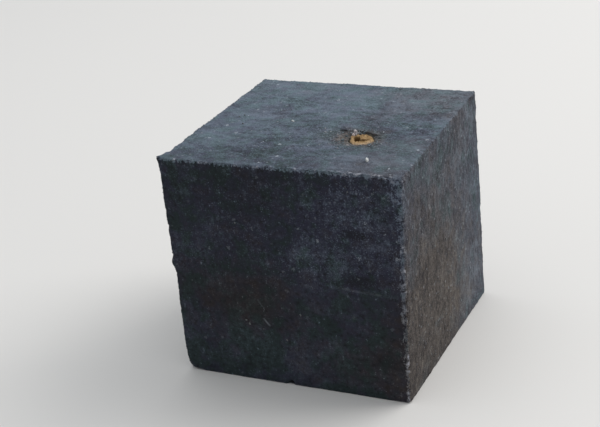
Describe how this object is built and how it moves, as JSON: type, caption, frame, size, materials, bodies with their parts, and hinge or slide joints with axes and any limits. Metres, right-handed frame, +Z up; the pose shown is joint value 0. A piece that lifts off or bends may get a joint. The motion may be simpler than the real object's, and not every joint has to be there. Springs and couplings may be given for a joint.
{
  "type": "charcoal drawing block",
  "caption": "Rough cube of pressed black charcoal for broad drawing, with a wooden dowel set off centre in its top.",
  "frame": {"origin": "middle of the flat base that the block stands on", "axes": "+Z up out of the base, +X to the right along the front face, +Y from the front face to the back"},
  "size_m": [0.0789, 0.0758, 0.0756],
  "materials": {
    "charcoal": "matte",
    "core_wood": "matte",
    "crumb": "matte",
    "grain": "satin"
  },
  "bodies": {
    "root": {"charcoal_block": "charcoal", "wood_core": "core_wood", "rim_crumbs": "crumb", "pale_grains": "grain"}
  },
  "joints": []
}
